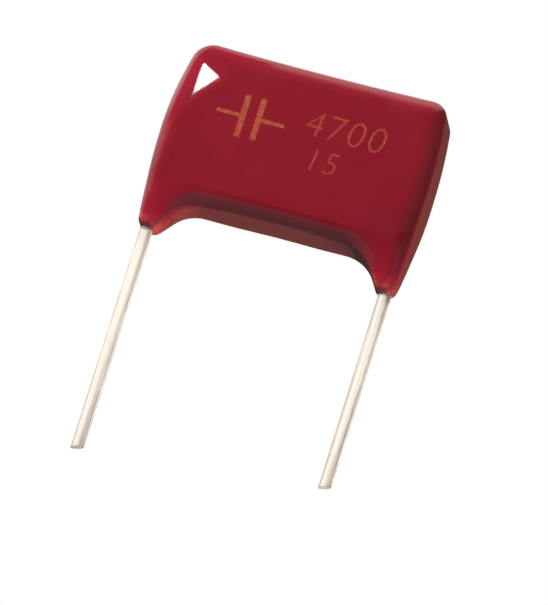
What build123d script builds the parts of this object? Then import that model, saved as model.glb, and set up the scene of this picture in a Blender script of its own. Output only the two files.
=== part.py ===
from build123d import *
import math
import os

# Dipped metallised film capacitor, in millimetres.
# X runs from the left lead to the right one, Y from the front face to the back, Z up.
# The origin is midway between the leads, on the plane that the two coating legs stand on.
# The leads leave the body a little in front of its middle.

# Leads: where they are, how far they run, and how their tips are cut
lead_pitch = 15.0
lead_diameter = 0.8
left_lead_length = 14.0
right_lead_length = 12.4
lead_cut_angle = 17.0
lead_stock_share = 2.0

# Leads: their upper ends, coined flat inside the coating and welded to the roll
coined_thickness = 0.56
coined_width = 0.94
coined_corner_radius = 0.2
coined_from = 0.05
lead_bed_depth = 0.12
lead_bed_length = 5.0

# Roll of film, pressed flat, and the metal sprayed on its two ends
spray_thickness = 0.45
spray_inset = 0.12
roll_height = 8.2
roll_thickness = 3.4
roll_edge_radius = 1.3
core_slit_height = 2.6
core_slit_width = 0.12

# Coating: how thick the resin lies over what it covers
face_cover = 0.6
floor_cover = 0.75
roof_cover = 0.8
side_cover = 0.45
left_leg_outer_cover = 0.17
right_leg_outer_cover = 0.11
leg_inner_cover = 0.16
leg_front_cover = 0.35
leg_back_cover = 0.6

# Coating: how far its middle lies behind the leads
body_setback = 0.45

# Coating: its outline, seen from the front
leg_drop = 2.2
left_widest_height = 6.2
right_widest_height = 6.8
left_side_lean = 0.85
right_side_lean = 0.42
left_corner_rise = 0.04
right_corner_rise = 0.16
left_tip_rise = 0.2
right_tip_rise = 0.05
left_arch_fall = 0.2
right_arch_fall = 0.1
leg_flare = 1.35
left_arch_radius = 2.1
right_arch_radius = 2.6
left_top_radius = 1.4
right_top_radius = 1.05
leg_tip_radius = 0.55

# Coating: how its front and back faces round over to its sides, and less so at the legs' tips
edge_radius = 0.5
edge_fall = 0.6
edge_fall_reach = 1.08
edge_fall_run = 0.6
tip_fall_share = 0.15
tip_reach_share = 0.5
full_fall_height = 3.0
leg_taper_height = 5.5
leg_taper_power = 1.5
leg_blend_start = 2.0
tip_rounding_share = 0.48
rim_to_tip_share = 0.98
rim_rounding_share = 0.4

# Coating: how finely its faces are drawn, and how much larger the stock and its cutters are
surface_margin = 1.0
surface_tolerance = 0.02
grid_step = 0.4
stock_share = 1.5
same_place = 0.01

# Sizes that follow from the ones above
lead_x = lead_pitch / 2
lead_radius = lead_diameter / 2
contact_face_x = lead_x - coined_thickness / 2 + lead_bed_depth
film_half_width = contact_face_x - spray_thickness
roll_bottom = leg_drop + floor_cover
roll_top = roll_bottom + roll_height
roll_middle = (roll_bottom + roll_top) / 2
roll_place = Pos(0, body_setback, roll_middle)
lead_top = roll_bottom + lead_bed_length
body_top = roll_top + roof_cover
body_half_width = lead_x + lead_radius + side_cover
body_half_thickness = roll_thickness / 2 + face_cover
left_tip_outer_x = lead_x + lead_radius + left_leg_outer_cover
right_tip_outer_x = lead_x + lead_radius + right_leg_outer_cover
tip_inner_x = lead_x - lead_radius - leg_inner_cover
arch_half_span = tip_inner_x - leg_flare
leg_tip_width = min(left_tip_outer_x, right_tip_outer_x) - tip_inner_x
leg_front_depth = body_setback + lead_radius + leg_front_cover
leg_back_depth = lead_radius + leg_back_cover - body_setback
leg_tip_thickness = leg_front_depth + leg_back_depth
tip_rounding = min(leg_tip_radius, tip_rounding_share * leg_tip_width)
rim_rounding = min(edge_radius, rim_to_tip_share * tip_rounding, rim_rounding_share * leg_tip_thickness)


def corners_at(sketch, x, z):
    """The corners of a sketch that lie at this place."""
    found = sketch.vertices()
    return [v for v in found if abs(v.X - x) < same_place and abs(v.Y - z) < same_place]


def by_side(side, left, right):
    """The value for the left (-1) or the right (1) side."""
    return left if side < 0 else right


def top_corner(side):
    """Where a side's outline meets the top, before their corner is rounded."""
    lean = by_side(side, left_side_lean, right_side_lean)
    rise = by_side(side, left_corner_rise, right_corner_rise)
    return side * (body_half_width - lean), body_top + rise


def arch_spring(side):
    """Where the arch meets a leg, before their corner is rounded."""
    return side * arch_half_span, leg_drop - by_side(side, left_arch_fall, right_arch_fall)


def half_outline(side):
    """The edges of one side of the front outline, from its top corner round its leg to the arch."""
    widest = (side * body_half_width, by_side(side, left_widest_height, right_widest_height))
    outer_x = side * by_side(side, left_tip_outer_x, right_tip_outer_x)
    outer = (outer_x, by_side(side, left_tip_rise, right_tip_rise))
    inner = (side * tip_inner_x, 0)
    upper = TangentArc(widest, top_corner(side), tangent=(0, 1))
    lower = TangentArc(widest, outer, tangent=(0, -1))
    return [upper, lower, Line(outer, inner), Line(inner, arch_spring(side))]


def front_outline():
    """The coating from the front: nearly flat top, bulged sides, two legs and an arch between."""
    top = ThreePointArc(top_corner(-1), (0, body_top), top_corner(1))
    arch = ThreePointArc(arch_spring(-1), (0, leg_drop), arch_spring(1))
    outline = make_face([top, arch] + half_outline(-1) + half_outline(1))
    outline = fillet(corners_at(outline, *top_corner(-1)), left_top_radius)
    outline = fillet(corners_at(outline, *top_corner(1)), right_top_radius)
    outline = fillet(corners_at(outline, *arch_spring(-1)), left_arch_radius)
    outline = fillet(corners_at(outline, *arch_spring(1)), right_arch_radius)
    tips = [v for v in outline.vertices() if v.Y < tip_rounding]
    return fillet(tips, tip_rounding)


def smooth(share):
    """A step from 0 to 1 that starts and ends gently."""
    share = min(max(share, 0), 1)
    return share * share * (3 - 2 * share)


def inward(x, z, outline):
    """How far inside the front outline this place lies; less than zero outside it."""
    distance = outline.wire().distance_to(Vector(x, z))
    return distance if outline.face().is_inside(Vector(x, z)) else -distance


def fall(distance, at_tip):
    """How far a face has fallen away at this distance inside the outline, less so at a leg's tip."""
    drop = edge_fall * (1 - (1 - tip_fall_share) * at_tip)
    reach = edge_fall_reach * (1 - (1 - tip_reach_share) * at_tip)
    if distance < 0:
        return drop + 2 * drop / reach * edge_fall_run * (1 - math.exp(distance / edge_fall_run))
    return drop * max(0, 1 - distance / reach) ** 2


def face_depth(x, z, leg_depth, outline):
    """How far a face lies from the middle plane: full, falling to its edges, thin at the legs."""
    at_leg = smooth((abs(x) - leg_blend_start) / (lead_x - leg_blend_start))
    at_tip = at_leg * (1 - smooth(z / full_fall_height))
    edges = fall(inward(x, z, outline), at_tip)
    below = max(0, 1 - z / leg_taper_height) ** leg_taper_power
    return body_half_thickness - edges - (body_half_thickness - leg_depth) * at_leg * below


def spread(low, high):
    """Evenly spaced places from low to high."""
    count = round((high - low) / grid_step)
    return [low + (high - low) * i / count for i in range(count + 1)]


def face_cutter(direction, leg_depth, outline):
    """Everything beyond the front (-1) or back (1) face, a smooth surface through its depths."""
    reach = body_half_width + surface_margin
    across = spread(-reach, reach)
    heights = spread(-surface_margin, body_top + surface_margin)

    def point(x, z):
        return Vector(x, direction * face_depth(x, z, leg_depth, outline), z)

    points = [[point(x, z) for z in heights] for x in across]
    surface = Face.make_surface_from_array_of_points(points, tol=surface_tolerance)
    return extrude(surface, stock_share * body_half_thickness, dir=(0, direction, 0))


def coating_form():
    """The coating's outer form: its outline cut between its two faces, with the rim rounded."""
    outline = front_outline()
    slab = extrude(Plane.XZ * outline, stock_share * body_half_thickness, both=True)
    form = slab - face_cutter(-1, leg_front_depth, outline) - face_cutter(1, leg_back_depth, outline)
    rim = form.edges().filter_by(Axis.Y, reverse=True)
    return Pos(0, body_setback, 0) * fillet(rim, rim_rounding)


def roll_section(inset):
    """The pressed roll's section across X, drawn in Y and Z about its own middle."""
    height = roll_height - 2 * inset
    thickness = roll_thickness - 2 * inset
    return Plane.YZ * RectangleRounded(thickness, height, roll_edge_radius - inset)


def pressed_roll():
    """The roll of film as a filled form, without the slit in its middle."""
    return roll_place * extrude(roll_section(0), film_half_width, both=True)


def winding():
    """The roll of film, with the thin slit that its mandrel leaves when the roll is pressed."""
    slit = Plane.YZ * SlotOverall(core_slit_height, core_slit_width, 90)
    return pressed_roll() - roll_place * extrude(slit, film_half_width, both=True)


def coined_end():
    """A lead's upper end, pressed flat from the shoulder just inside the leg up to its top."""
    flat = RectangleRounded(coined_thickness, coined_width, coined_corner_radius)
    return Pos(0, 0, coined_from) * extrude(flat, lead_top - coined_from)


def lead(side, length):
    """One straight wire, from its coined end on the roll down to its slanted tip."""
    hanging = (Align.CENTER, Align.CENTER, Align.MAX)
    spare = lead_stock_share * lead_diameter
    wire = Pos(0, 0, coined_from) * Cylinder(lead_radius, coined_from + length + spare, align=hanging)
    cut = Rot(0, -lead_cut_angle, 0) * Box(2 * spare, 2 * spare, 2 * spare, align=hanging)
    return Pos(side * lead_x, 0, 0) * (wire - Pos(0, 0, -length) * cut + coined_end())


def end_contact(side, wire):
    """Metal sprayed on one end of the roll, with the groove that its lead is welded into."""
    spray = roll_place * Pos(film_half_width, 0, 0) * extrude(roll_section(spray_inset), spray_thickness)
    if side < 0:
        spray = mirror(spray, Plane.YZ)
    return spray - wire


# Each piece by name; the coating is its outer form less everything that it encloses
pieces = {"lead_left": lead(-1, left_lead_length), "lead_right": lead(1, right_lead_length)}
pieces["end_contact_left"] = end_contact(-1, pieces["lead_left"])
pieces["end_contact_right"] = end_contact(1, pieces["lead_right"])
coating = coating_form() - pressed_roll()
for piece in pieces.values():
    coating -= piece
pieces["coating"] = coating
pieces["winding"] = winding()

os.makedirs("parts", exist_ok=True)
for name, shape in pieces.items():
    export_step(shape, f"parts/{name}.step")
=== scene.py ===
import math

import bmesh
import bpy
from mathutils import Matrix, Vector
from mathutils.bvhtree import BVHTree


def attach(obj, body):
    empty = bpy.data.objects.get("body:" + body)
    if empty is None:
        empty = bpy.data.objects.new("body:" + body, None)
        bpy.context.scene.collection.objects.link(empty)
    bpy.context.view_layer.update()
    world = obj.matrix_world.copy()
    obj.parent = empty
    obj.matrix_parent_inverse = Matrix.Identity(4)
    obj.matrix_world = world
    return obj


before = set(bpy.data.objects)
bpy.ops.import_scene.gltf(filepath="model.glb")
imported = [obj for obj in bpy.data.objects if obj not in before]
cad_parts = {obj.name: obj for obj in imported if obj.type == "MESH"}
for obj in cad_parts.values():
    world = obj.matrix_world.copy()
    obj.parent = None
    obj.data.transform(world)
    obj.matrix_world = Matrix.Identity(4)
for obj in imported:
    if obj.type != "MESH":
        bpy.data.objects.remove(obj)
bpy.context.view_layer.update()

MM = 0.001
UP = (0, 0, 1)
FRONT = (0, -1, 0)
BACK = (0, 1, 0)
RIGHT = (1, 0, 0)

# Camera: where it stands and how the picture is turned, in degrees and metres
CAMERA_AZIMUTH = 9.314
CAMERA_ELEVATION = -14.375
PICTURE_TURN = 17.478
CAMERA_DISTANCE = 0.9456
CAMERA_TARGET = Vector((1.149, 0.473, -2.097)) * MM
CAMERA_LENS = 940.4
SENSOR_WIDTH = 36.0
CAMERA_NEAR = 0.01
CAMERA_FAR = 50.0

# Lamps: the place that each faces, the way to it, its distance and size in metres, and its power
LIT_PLACE = Vector((0, 0, 6)) * MM
WIRE_PLACE = Vector((0, 0, -6.7)) * MM
FULL_SPREAD = 180
KEY_WAY = (-0.476, -0.672, 0.567)
KEY_RISE = (-0.157, -0.956, 0.248)
KEY_DISTANCE = 0.6
KEY_SIZE = (0.192, 0.24)
KEY_POWER = 4.95
LOW_FILL_WAY = (0.72, 0.58, -0.38)
LOW_FILL_DISTANCE = 0.3
LOW_FILL_SIZE = (0.2, 0.2)
LOW_FILL_POWER = 1.5
WIRE_FILL_WAY = (0.84, -0.54, 0)
WIRE_FILL_DISTANCE = 0.04
WIRE_FILL_SIZE = (0.024, 0.0138)
WIRE_FILL_POWER = 0.00077
WIRE_FILL_SPREAD = 12

# Surroundings: what lights the part, and what it mirrors
DARK_LEVEL = 0.05
SKY_LEVEL = 0.65
SKY_WAY = (-0.55, 0.15, 0.82)
SKY_EDGE = (0.1, 0.72)
HIGH_GLOW = 1.15
HIGH_GLOW_WAY = (-0.5, 0, 0.87)
HIGH_GLOW_EDGE = (0.36, 0.6)
HIGH_GLOW_BACK = (-0.8, 0.1)
FRONT_GLOW = 0.1
FRONT_GLOW_EDGE = (0.2, 0.9)
RIGHT_GLOW = 0.12
RIGHT_GLOW_EDGE = (0.2, 0.8)

# Floor: its place and size in metres, how white it is, and what of it the part mirrors
FLOOR_HEIGHT = -0.34
FLOOR_SIZE = 6.0
FLOOR_MATT = (0.06, 0.06, 0.06)
FLOOR_WHITE = 1.17
FLOOR_WHITE_SHARE = 0.85
FLOOR_DARK_GLOW = 0.1
FLOOR_GLOW = 0.32
FLOOR_GLOW_NEAR = (-0.9, -0.25)
FLOOR_GLOW_FAR = (-0.05, 0.6)

# Print on the front face, in millimetres
INK_THICKNESS = 0.01
INK_SINK = 0.004
PRINT_STEP = 0.25
PRINT_START = -10
SAME_PLACE = 0.0005
SYMBOL_MIDDLE = (-3.2, 7.95)
SYMBOL_PLATE_GAP = 0.62
SYMBOL_PLATE_HEIGHT = 2.7
SYMBOL_STROKE = 0.36
SYMBOL_WIRE_LENGTH = 1.45
SYMBOL_WIRE_STROKE = 0.24
BAR_ROUNDING_SHARE = 0.22
BAR_ROUNDING_STEPS = 3
UPPER_NUMBER = ("4700", (0.0, 7.8), 1.75)
LOWER_NUMBER = ("15", (0.62, 5.75), 1.5)
NUMBER_SLANT = 0.12
NUMBER_THINNING = -0.036
NUMBER_SPACING = 1.08
CAP_SHARE = 0.73

# Resin: its parts, in millimetres
THIN_HEIGHT = (0.0, 1.1)
COATING_MIDDLE = 0.45
FACE_EDGE = (1.35, 1.8)
LEG_RECESS = 1.1
LEG_REACH = (2.0, 7.5)
LEG_HEIGHT = (-1.0, 5.5)
CORNER_FALL = 0.5
CORNER_FALL_REACH = (10.44, 13.44)
CORNER_FALL_TOP = (6.8, 8.6)
CORNER_FALL_SLOPE = 0.53
CORNER_FALL_DEPTH = (-0.9, 0.2)
CORNER_MATT_REACH = (9.9, 10.5)
CORNER_MATT_SIDE = (-7.05, -6.85)
CORNER_MATT_TOP = (6.72, 6.92)
CORNER_MATT_DEPTH = (-1.64, -1.52)

# Resin: the size and depth of its pattern, in millimetres, how much each shows, and its gloss
CLOUD_SIZE = 2.6
CLOUD_EDGE = (0.3, 0.7)
SPECK_SIZE = 0.16
SPECK_EDGE = (0.62, 0.8)
SPECK_SHARE = 0.25
LUMP_SIZE = 0.5
LUMP_DEPTH = 0.14
LUMP_EDGE = (0.4, 0.6)
# How much the leg ends take of their pink: partly thin resin, partly painted light and glints
LUMP_SHARE = 0.55
THIN_SHARE = 0.25
WAVE_SIZE = 3.4
WAVE_DEPTH = 0.03
RIPPLE_SIZE = 0.45
RIPPLE_DEPTH = 0.0008
RESIN_ROUGH = 0.07
CLOUD_ROUGH = 0.05
THIN_ROUGH = 0.12
RESIN_IOR = 1.58

# Resin: its colours
RESIN_DEEP = (0.238, 0.0045, 0.0135)
RESIN_LIGHT = (0.262, 0.0065, 0.0185)
RESIN_SPECK = (0.32, 0.02, 0.03)
# Painted light: a brighter red for the legs, whose fronts turn down away from the light
RESIN_LEG_PAINTED_LIGHT = (0.34, 0.011, 0.027)
# Painted sheen: a browner red for the narrow sides, top and underside, standing in for the grey
# sheen they catch
RESIN_SIDE_PAINTED_SHEEN = (0.265, 0.030, 0.024)
# Lighter pink for the leg ends: partly thin resin, partly painted light and glints on these shaded
# lumps
RESIN_THIN_AND_PAINTED_GLINT = (0.58, 0.07, 0.065)
# Painted sheen: a paler red for the corner where the gloss is taken off, standing in for that sheen
RESIN_MATT_PAINTED_SHEEN = (0.255, 0.0135, 0.026)

# Wire: the painted shade along both its edges, and the stain of resin on the right one, in
# millimetres
WIRE_MIDDLE = 7.5
EDGE_SHADE_INNER = (0.25, 0.28)
EDGE_SHADE_OUTER = (0.3, 0.33)
STAIN_HEIGHT = (-0.95, -0.1)
STAIN_REACH = (7.55, 7.8)

# Wire: the size, depth and stretch of its pattern, in millimetres, and how much each shows
STREAK_SIZE = 0.22
STREAK_STRETCH = (1, 1, 0.012)
STREAK_EDGE = (0.35, 0.65)
STREAK_DEPTH = 0.05
PATCH_SIZE = 0.7
PATCH_STRETCH = (1, 1, 0.35)
PATCH_EDGE = (0.5, 0.75)
PATCH_SHARE = 0.3
# Painted shade along the wire's edges: where it breaks, and how much of it stays there
EDGE_SHADE_BREAKS = (0.3, 0.6)
EDGE_SHADE_SHARE = 0.25
GRAIN_SIZE = 0.05
GRAIN_DEPTH = 0.002
WIRE_ROUGH = 0.5
PATCH_ROUGH = 0.16
GRAIN_ROUGH = 0.06
WIRE_METAL = 0.2

# Wire: its colours
WIRE_DULL = (0.60, 0.53, 0.45)
WIRE_BRIGHT = (0.84, 0.77, 0.67)
WIRE_PATCH = (0.62, 0.56, 0.48)
# Painted shade along the wire's edges
WIRE_EDGE_SHADE = (0.36, 0.34, 0.31)
WIRE_STAIN = (0.28, 0.16, 0.12)

# Roll of film: its turns
TURN_SIZE = 0.06
TURN_STRETCH = (0.04, 1, 1)
TURN_EDGE = (0.35, 0.65)
TURN_ROUGH = 0.2
FILM_ROUGH = 0.25
FILM_METAL = 0.7
FILM_DARK = (0.50, 0.50, 0.52)
FILM_BRIGHT = (0.72, 0.72, 0.73)

# Sprayed zinc: its grit
GRIT_SIZE = 0.09
GRIT_DEPTH = 0.03
GRIT_EDGE = (0.35, 0.7)
GRIT_ROUGH = 0.3
ZINC_ROUGH = 0.55
ZINC_METAL = 0.8
ZINC_DARK = (0.33, 0.33, 0.34)
ZINC_BRIGHT = (0.56, 0.56, 0.57)

# Ink: its grain, and how much of the red each print covers
INK_GRAIN_SIZE = 0.12
INK_GRAIN_DEPTH = 0.002
INK_GRAIN_EDGE = (0.36, 0.64)
INK_GRAIN_ROUGH = 0.1
INK_ROUGH = 0.14
INK_DARK = (0.34, 0.040, 0.030)
INK_LIGHT = (0.47, 0.105, 0.046)
RED_UNDER_INK = (0.25, 0.008, 0.018)
SYMBOL_COVER = 0.92
NUMBER_COVER = 0.62


class Value:
    """A number that changes over a surface. Sums with it add the Math nodes that work it out."""

    def __init__(self, sheet, socket):
        self.sheet = sheet
        self.socket = socket

    def worked(self, operation, *numbers):
        """The number that a Math node makes of these."""
        return self.sheet.node("ShaderNodeMath", {"operation": operation}, dict(enumerate(numbers)))

    def __add__(self, other):
        return self.worked("ADD", self, other)

    def __radd__(self, other):
        return self.worked("ADD", other, self)

    def __sub__(self, other):
        return self.worked("SUBTRACT", self, other)

    def __rsub__(self, other):
        return self.worked("SUBTRACT", other, self)

    def __mul__(self, other):
        return self.worked("MULTIPLY", self, other)

    def __rmul__(self, other):
        return self.worked("MULTIPLY", other, self)

    def at_least(self, other):
        """The larger of the two."""
        return self.worked("MAXIMUM", self, other)

    def either_way(self):
        """How far from 0 it is, whichever way."""
        return self.at_least(0 - self)

    def step(self, edges):
        """0 below the first edge, 1 above the second, smooth between."""
        inputs = {"Value": self, "From Min": edges[0], "From Max": edges[1]}
        return self.sheet.node("ShaderNodeMapRange", {"interpolation_type": "SMOOTHSTEP"}, inputs)

    def step_mm(self, edges):
        """The same step, with its edges in millimetres."""
        return self.step([edge * MM for edge in edges])


class Sheet:
    """The nodes of one material or of the world."""

    def __init__(self, owner):
        owner.use_nodes = True
        self.owner = owner
        self.tree = owner.node_tree
        self.tree.nodes.clear()

    def node(self, kind, settings=None, inputs=None, output=0):
        """Adds a node, settings first, then the values or links of its sockets."""
        made = self.tree.nodes.new(kind)
        for name, value in (settings or {}).items():
            setattr(made, name, value)
        for name, value in (inputs or {}).items():
            if isinstance(value, Value):
                self.tree.links.new(value.socket, made.inputs[name])
            else:
                made.inputs[name].default_value = value
        return Value(self, made.outputs[output]) if made.outputs else None

    def mixed(self, share, first, second):
        """A colour between two others."""
        inputs = {0: share, 6: opaque(first), 7: opaque(second)}
        return self.node("ShaderNodeMix", {"data_type": "RGBA"}, inputs, 2)

    def place(self, stretch=(1, 1, 1)):
        """The point on the piece, in metres, with each axis stretched."""
        spot = self.node("ShaderNodeTexCoord", output="Object")
        if stretch == (1, 1, 1):
            return spot
        return self.node("ShaderNodeMapping", {}, {"Vector": spot, "Scale": stretch})

    def along(self, axis):
        """How far along this axis the point on the piece lies, in metres."""
        return self.node("ShaderNodeSeparateXYZ", {}, {"Vector": self.place()}, axis)

    def noise(self, size_mm, stretch=(1, 1, 1), detail=2.0, roughness=0.5):
        """Soft random patches of about this size."""
        inputs = {"Vector": self.place(stretch), "Scale": 1 / (size_mm * MM)}
        inputs.update({"Detail": detail, "Roughness": roughness})
        return self.node("ShaderNodeTexNoise", {}, inputs)

    def bump(self, height, depth_mm, under=None):
        """A surface raised by height times depth."""
        inputs = {"Height": height, "Distance": depth_mm * MM}
        if under:
            inputs["Normal"] = under
        return self.node("ShaderNodeBump", {}, inputs)

    def ray(self, kind):
        """1 for a ray of this kind."""
        return self.node("ShaderNodeLightPath", output=f"Is {kind} Ray")

    def seen(self):
        """1 for what the camera sees, straight or through a clear thing."""
        return self.ray("Camera").at_least(self.ray("Transmission"))

    def surface(self, dull=None, **sockets):
        """The finished material. Where dull is 1, it has no gloss."""
        named = {name.replace("_", " "): opaque(value) for name, value in sockets.items()}
        shader = self.node("ShaderNodeBsdfPrincipled", {}, named)
        if dull:
            matt = self.node("ShaderNodeBsdfPrincipled", {}, {**named, "Specular IOR Level": 0.0})
            shader = self.node("ShaderNodeMixShader", {}, {0: dull, 1: shader, 2: matt})
        self.node("ShaderNodeOutputMaterial", {}, {"Surface": shader})
        return self.owner


def opaque(colour):
    """A colour of three numbers with its alpha added; anything else as it is."""
    return (*colour, 1.0) if isinstance(colour, tuple) and len(colour) == 3 else colour


def finish_sheet(name):
    """The empty sheet of a new material."""
    return Sheet(bpy.data.materials.new(name))


def resin_finish():
    """Dipped epoxy: deep red and glossy, in slow waves, lumpy where thin, falling at one corner.
    Painted light: brighter legs, browner sides for their sheen, glints on the thin leg ends, a paler
    matt corner for its lost sheen.
    """
    sheet = finish_sheet("dipped_resin")
    cloud = sheet.noise(CLOUD_SIZE, detail=3.0)
    speck = sheet.noise(SPECK_SIZE)
    lump = sheet.noise(LUMP_SIZE, detail=1.0)
    across = sheet.along("X")
    depth = sheet.along("Y")
    height = sheet.along("Z")

    thin = 1 - height.step_mm(THIN_HEIGHT)
    leg = across.either_way().step_mm(LEG_REACH) * (1 - height.step_mm(LEG_HEIGHT))
    off = (depth - COATING_MIDDLE * MM).either_way() + leg * (LEG_RECESS * MM)
    diagonal = (height - across) * math.sqrt(0.5)
    aslant = height + CORNER_FALL_SLOPE * across
    fall = diagonal.step_mm(CORNER_FALL_REACH) * (1 - aslant.step_mm(CORNER_FALL_TOP))
    fall = fall * (1 - depth.step_mm(CORNER_FALL_DEPTH))
    dull = aslant.step_mm(CORNER_MATT_TOP).at_least(1 - across.step_mm(CORNER_MATT_SIDE))
    dull = dull * diagonal.step_mm(CORNER_MATT_REACH) * (1 - depth.step_mm(CORNER_MATT_DEPTH))

    colour = sheet.mixed(cloud.step(CLOUD_EDGE), RESIN_DEEP, RESIN_LIGHT)
    colour = sheet.mixed(speck.step(SPECK_EDGE) * SPECK_SHARE, colour, RESIN_SPECK)
    # Painted light: the legs are coloured brighter where their fronts turn down from the light
    colour = sheet.mixed(leg, colour, RESIN_LEG_PAINTED_LIGHT)
    # Painted sheen: the narrow sides, top and underside are coloured browner
    colour = sheet.mixed(off.step_mm(FACE_EDGE), RESIN_SIDE_PAINTED_SHEEN, colour)
    # Leg ends: lighter where the resin runs thin, with painted light and glints on their shaded
    # lumps
    lumps_and_painted_glints = thin * (THIN_SHARE + LUMP_SHARE * lump.step(LUMP_EDGE))
    colour = sheet.mixed(lumps_and_painted_glints, colour, RESIN_THIN_AND_PAINTED_GLINT)
    # Painted sheen: a paler red where the corner's gloss is taken off
    colour = sheet.mixed(dull, colour, RESIN_MATT_PAINTED_SHEEN)

    corner = sheet.bump(fall, -CORNER_FALL)
    lumps = sheet.bump(lump * thin, LUMP_DEPTH, under=corner)
    waves = sheet.bump(sheet.noise(WAVE_SIZE, detail=1.0), WAVE_DEPTH, under=lumps)
    normal = sheet.bump(sheet.noise(RIPPLE_SIZE, detail=1.0), RIPPLE_DEPTH, under=waves)
    rough = RESIN_ROUGH + CLOUD_ROUGH * cloud + thin * THIN_ROUGH
    return sheet.surface(dull, Base_Color=colour, Roughness=rough, IOR=RESIN_IOR, Normal=normal)


def wire_finish():
    """Tinned wire: drawn, so its streaks run along it, with duller patches, a stain of resin and
    broken lines of painted shade along both edges.
    """
    sheet = finish_sheet("tinned_wire")
    streak = sheet.noise(STREAK_SIZE, stretch=STREAK_STRETCH, detail=3.0, roughness=0.6)
    patch = sheet.noise(PATCH_SIZE, stretch=PATCH_STRETCH, detail=3.0)
    grain = sheet.noise(GRAIN_SIZE)
    across = sheet.along("X")

    aside = (across.either_way() - WIRE_MIDDLE * MM).either_way()
    # Painted shade: broken dark lines near both edges of each wire
    edge_shade = aside.step_mm(EDGE_SHADE_INNER) * (1 - aside.step_mm(EDGE_SHADE_OUTER))
    broken_edge_shade = edge_shade * (EDGE_SHADE_SHARE + (1 - EDGE_SHADE_SHARE) * patch.step(EDGE_SHADE_BREAKS))
    stain = sheet.along("Z").step_mm(STAIN_HEIGHT) * across.step_mm(STAIN_REACH)

    colour = sheet.mixed(streak.step(STREAK_EDGE), WIRE_DULL, WIRE_BRIGHT)
    colour = sheet.mixed(patch.step(PATCH_EDGE) * PATCH_SHARE, colour, WIRE_PATCH)
    colour = sheet.mixed(broken_edge_shade, colour, WIRE_EDGE_SHADE)
    colour = sheet.mixed(stain, colour, WIRE_STAIN)

    rough = WIRE_ROUGH + PATCH_ROUGH * patch + GRAIN_ROUGH * grain
    normal = sheet.bump(streak, STREAK_DEPTH, under=sheet.bump(grain, GRAIN_DEPTH))
    metal = WIRE_METAL * (1 - stain)
    return sheet.surface(Base_Color=colour, Metallic=metal, Roughness=rough, Normal=normal)


def film_finish():
    """The roll's side: turn upon turn of metallised film, seen as fine lines."""
    sheet = finish_sheet("metallised_film")
    turns = sheet.noise(TURN_SIZE, stretch=TURN_STRETCH)
    colour = sheet.mixed(turns.step(TURN_EDGE), FILM_DARK, FILM_BRIGHT)
    rough = FILM_ROUGH + TURN_ROUGH * turns
    return sheet.surface(Base_Color=colour, Metallic=FILM_METAL, Roughness=rough)


def spray_finish():
    """Flame-sprayed zinc: matt grey and gritty."""
    sheet = finish_sheet("sprayed_zinc")
    grit = sheet.noise(GRIT_SIZE, detail=4.0, roughness=0.65)
    colour = sheet.mixed(grit.step(GRIT_EDGE), ZINC_DARK, ZINC_BRIGHT)
    rough = ZINC_ROUGH + GRIT_ROUGH * grit
    normal = sheet.bump(grit, GRIT_DEPTH)
    return sheet.surface(Base_Color=colour, Metallic=ZINC_METAL, Roughness=rough, Normal=normal)


def ink_finish(name, cover):
    """Orange-brown stamping ink, grainy on the gloss, over this share of the red."""
    sheet = finish_sheet(name)
    grain = sheet.noise(INK_GRAIN_SIZE, detail=3.0, roughness=0.65)
    colour = sheet.mixed(grain.step(INK_GRAIN_EDGE), INK_DARK, INK_LIGHT)
    colour = sheet.mixed(cover, RED_UNDER_INK, colour)
    rough = INK_ROUGH + INK_GRAIN_ROUGH * grain
    normal = sheet.bump(grain, INK_GRAIN_DEPTH)
    return sheet.surface(Base_Color=colour, Roughness=rough, Normal=normal)


def paint_cad(node, finish):
    """Gives a node of the frame its finish."""
    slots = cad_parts[node].data.materials
    slots.clear()
    slots.append(finish)


def piece_from(shape, name, finish):
    """A new piece that rides on the part, with its place in its mesh."""
    mesh = bpy.data.meshes.new(name)
    shape.to_mesh(mesh)
    shape.free()
    piece = bpy.data.objects.new(name, mesh)
    bpy.context.collection.objects.link(piece)
    mesh.materials.append(finish)
    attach(piece, "root")


def front_skin():
    """The coating's surface, to lay the print on."""
    shape = bmesh.new()
    shape.from_mesh(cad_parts["coating"].data)
    tree = BVHTree.FromBMesh(shape)
    shape.free()
    return tree


def lay_on_front(shape, skin):
    """Cuts a flat print, drawn in X and Z, into small faces and lays it on the front, solid."""
    for axis in (0, 2):
        places = [vert.co[axis] for vert in shape.verts]
        across = Vector((0, 0, 0))
        across[axis] = 1
        place = min(places) + PRINT_STEP * MM
        while place < max(places):
            everything = shape.verts[:] + shape.edges[:] + shape.faces[:]
            bmesh.ops.bisect_plane(shape, geom=everything, plane_co=across * place, plane_no=across)
            place += PRINT_STEP * MM
    for face in shape.faces:
        face.smooth = False
    for vert in shape.verts:
        start = Vector((vert.co.x, PRINT_START * MM, vert.co.z))
        spot = skin.ray_cast(start, Vector(BACK))[0]
        vert.co.y = spot.y + INK_SINK * MM
    raised = bmesh.ops.extrude_face_region(shape, geom=shape.faces[:])
    top = [item for item in raised["geom"] if isinstance(item, bmesh.types.BMVert)]
    bmesh.ops.translate(shape, verts=top, vec=(0, -INK_THICKNESS * MM, 0))
    bmesh.ops.remove_doubles(shape, verts=shape.verts, dist=SAME_PLACE * MM)
    bmesh.ops.recalc_face_normals(shape, faces=shape.faces)


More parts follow.
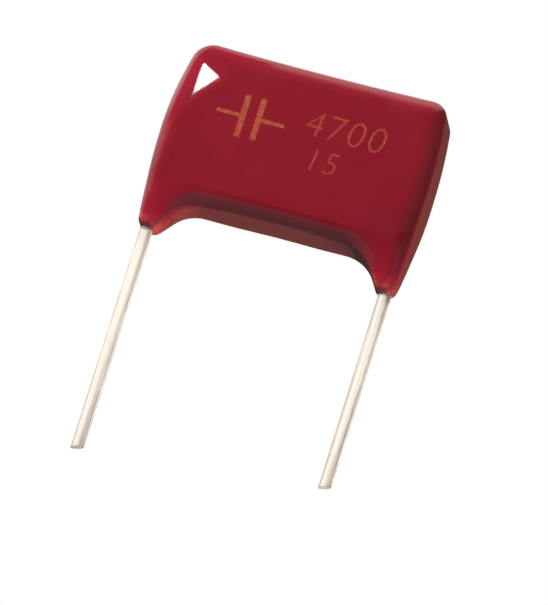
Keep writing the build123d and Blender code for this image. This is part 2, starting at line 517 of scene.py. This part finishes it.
def bar(shape, middle_x, middle_z, width, height):
    """A flat upright rectangle with small rounded corners, facing the front."""
    corners = bmesh.ops.create_grid(shape, x_segments=1, y_segments=1, size=0.5)["verts"]
    bmesh.ops.scale(shape, verts=corners, vec=(width * MM, height * MM, 1))
    rounded = bmesh.ops.bevel(
        shape,
        geom=corners,
        offset=BAR_ROUNDING_SHARE * min(width, height) * MM,
        segments=BAR_ROUNDING_STEPS,
        profile=0.5,
        affect="VERTICES",
        material=-1,
    )
    verts = set(rounded["verts"]) | {vert for vert in corners if vert.is_valid}
    for face in rounded["faces"]:
        verts |= set(face.verts)
    upright = Matrix.Rotation(math.pi / 2, 3, "X")
    bmesh.ops.rotate(shape, verts=list(verts), cent=(0, 0, 0), matrix=upright)
    bmesh.ops.translate(shape, verts=list(verts), vec=(middle_x * MM, 0, middle_z * MM))


def capacitor_symbol(skin, ink):
    """The standard circuit sign of a capacitor: two plates with a wire to each."""
    shape = bmesh.new()
    middle_x, middle_z = SYMBOL_MIDDLE
    for side in (-1, 1):
        plate_x = middle_x + side * (SYMBOL_PLATE_GAP + SYMBOL_STROKE) / 2
        wire_x = plate_x + side * (SYMBOL_STROKE + SYMBOL_WIRE_LENGTH) / 2
        bar(shape, plate_x, middle_z, SYMBOL_STROKE, SYMBOL_PLATE_HEIGHT)
        bar(shape, wire_x, middle_z, SYMBOL_WIRE_LENGTH, SYMBOL_WIRE_STROKE)
    lay_on_front(shape, skin)
    piece_from(shape, "print_symbol", ink)


def plain_number(name, number, skin, ink):
    """A plain number, set in thin sloping figures."""
    figures, (left, base), height = number
    curve = bpy.data.curves.new(name, "FONT")
    curve.body = figures
    curve.size = height / CAP_SHARE
    curve.shear = NUMBER_SLANT
    curve.offset = NUMBER_THINNING
    curve.space_character = NUMBER_SPACING
    drawn = bpy.data.objects.new(name, curve)
    bpy.context.collection.objects.link(drawn)
    bpy.context.view_layer.update()
    flat = bpy.data.meshes.new_from_object(drawn)
    bpy.data.objects.remove(drawn)
    bpy.data.curves.remove(curve)
    shape = bmesh.new()
    shape.from_mesh(flat)
    bpy.data.meshes.remove(flat)
    upright = Matrix.Translation((left * MM, 0, base * MM)) @ Matrix.Rotation(math.pi / 2, 4, "X")
    bmesh.ops.transform(shape, matrix=upright @ Matrix.Scale(MM, 4), verts=shape.verts)
    lay_on_front(shape, skin)
    piece_from(shape, name, ink)


def turned_to(right, up, back):
    """The turn that gives a lamp or camera these three axes."""
    return Matrix((right, up, back)).transposed().to_4x4()


def camera_axes():
    """Right, up and back of the picture, as directions in the part's frame."""
    turn = math.radians(CAMERA_AZIMUTH)
    tilt = math.radians(CAMERA_ELEVATION)
    roll = math.radians(PICTURE_TURN)
    level = Vector((math.cos(turn), math.sin(turn), 0))
    back_x = math.cos(tilt) * math.sin(turn)
    back = Vector((back_x, -math.cos(tilt) * math.cos(turn), math.sin(tilt)))
    rise = back.cross(level)
    right = level * math.cos(roll) + rise * math.sin(roll)
    up = rise * math.cos(roll) - level * math.sin(roll)
    return right, up, back


def set_camera():
    """The camera at the picture's viewing angle."""
    right, up, back = camera_axes()
    lens = bpy.data.cameras.new("camera")
    lens.lens = CAMERA_LENS
    lens.sensor_width = SENSOR_WIDTH
    lens.clip_start = CAMERA_NEAR
    lens.clip_end = CAMERA_FAR
    camera = bpy.data.objects.new("camera", lens)
    bpy.context.collection.objects.link(camera)
    stand = Matrix.Translation(CAMERA_TARGET + back * CAMERA_DISTANCE)
    camera.matrix_world = stand @ turned_to(right, up, back)
    bpy.context.scene.camera = camera


def softbox(
    name, way, rise, distance, size, power, spread=FULL_SPREAD, aim=LIT_PLACE, mirrored=False
):
    """A lamp that faces a place from this way, its height along rise, in reflections if mirrored."""
    way = Vector(way).normalized()
    side = Vector(rise).cross(way).normalized()
    lamp = bpy.data.lights.new(name, "AREA")
    lamp.shape = "RECTANGLE"
    lamp.size, lamp.size_y = size
    lamp.energy = power
    lamp.spread = math.radians(spread)
    holder = bpy.data.objects.new(name, lamp)
    bpy.context.collection.objects.link(holder)
    stand = Matrix.Translation(way * distance + aim)
    holder.matrix_world = stand @ turned_to(side, way.cross(side), way)
    holder.visible_camera = False
    holder.visible_glossy = mirrored


def studio_world():
    """White to the camera, darker in reflections. Its light comes from high on the left."""
    world = bpy.data.worlds.new("studio")
    sheet = Sheet(world)
    bpy.context.scene.world = world
    way = sheet.node("ShaderNodeTexCoord", output="Generated")

    def facing(direction):
        """How squarely a ray goes this way."""
        inputs = {0: way, 1: Vector(direction).normalized()}
        return sheet.node("ShaderNodeVectorMath", {"operation": "DOT_PRODUCT"}, inputs, "Value")

    soft = DARK_LEVEL + (1 - DARK_LEVEL) * facing(SKY_WAY).step(SKY_EDGE)
    high = HIGH_GLOW * facing(BACK).step(HIGH_GLOW_BACK)
    high = high * facing(HIGH_GLOW_WAY).step(HIGH_GLOW_EDGE)
    mirrored = DARK_LEVEL + high + FRONT_GLOW * facing(FRONT).step(FRONT_GLOW_EDGE)
    mirrored = mirrored + RIGHT_GLOW * facing(RIGHT).step(RIGHT_GLOW_EDGE)
    seen = sheet.seen()
    glossy = sheet.ray("Glossy")
    level = glossy * mirrored + (1 - glossy) * SKY_LEVEL * soft
    strength = seen + (1 - seen) * level
    light = sheet.node("ShaderNodeBackground", {}, {"Color": (1, 1, 1, 1), "Strength": strength})
    sheet.node("ShaderNodeOutputWorld", {}, {"Surface": light})


def lay_floor():
    """A plain floor, well below the part: white to the camera, and darker in reflections."""
    shape = bmesh.new()
    bmesh.ops.create_grid(shape, x_segments=1, y_segments=1, size=FLOOR_SIZE / 2)
    bmesh.ops.translate(shape, verts=shape.verts, vec=(0, 0, FLOOR_HEIGHT))
    mesh = bpy.data.meshes.new("floor")
    shape.to_mesh(mesh)
    shape.free()
    floor = bpy.data.objects.new("floor", mesh)
    bpy.context.collection.objects.link(floor)

    sheet = finish_sheet("pale_floor")
    seen = sheet.seen()
    glossy = sheet.ray("Glossy")
    along = sheet.along("Y")
    band = FLOOR_GLOW * along.step(FLOOR_GLOW_NEAR) * (1 - along.step(FLOOR_GLOW_FAR))
    level = FLOOR_WHITE * seen + glossy * (FLOOR_DARK_GLOW + band)
    share = seen.at_least(glossy) * FLOOR_WHITE_SHARE
    matt = sheet.node("ShaderNodeBsdfDiffuse", {}, {"Color": opaque(FLOOR_MATT)})
    white = sheet.node("ShaderNodeEmission", {}, {"Color": (1, 1, 1, 1), "Strength": level})
    both = sheet.node("ShaderNodeMixShader", {}, {0: share, 1: matt, 2: white})
    sheet.node("ShaderNodeOutputMaterial", {}, {"Surface": both})
    mesh.materials.append(sheet.owner)


paint_cad("coating", resin_finish())
paint_cad("winding", film_finish())
tinned = wire_finish()
sprayed = spray_finish()
for side in ("left", "right"):
    paint_cad(f"lead_{side}", tinned)
    paint_cad(f"end_contact_{side}", sprayed)

skin = front_skin()
capacitor_symbol(skin, ink_finish("stamping_ink", SYMBOL_COVER))
thin_ink = ink_finish("thin_stamping_ink", NUMBER_COVER)
plain_number("print_upper_number", UPPER_NUMBER, skin, thin_ink)
plain_number("print_lower_number", LOWER_NUMBER, skin, thin_ink)

set_camera()
softbox("key", KEY_WAY, KEY_RISE, KEY_DISTANCE, KEY_SIZE, KEY_POWER, mirrored=True)
softbox("low_fill", LOW_FILL_WAY, UP, LOW_FILL_DISTANCE, LOW_FILL_SIZE, LOW_FILL_POWER)
softbox(
    "wire_fill",
    WIRE_FILL_WAY,
    UP,
    WIRE_FILL_DISTANCE,
    WIRE_FILL_SIZE,
    WIRE_FILL_POWER,
    WIRE_FILL_SPREAD,
    WIRE_PLACE,
)
lay_floor()
studio_world()

bpy.context.scene.view_settings.view_transform = "Standard"
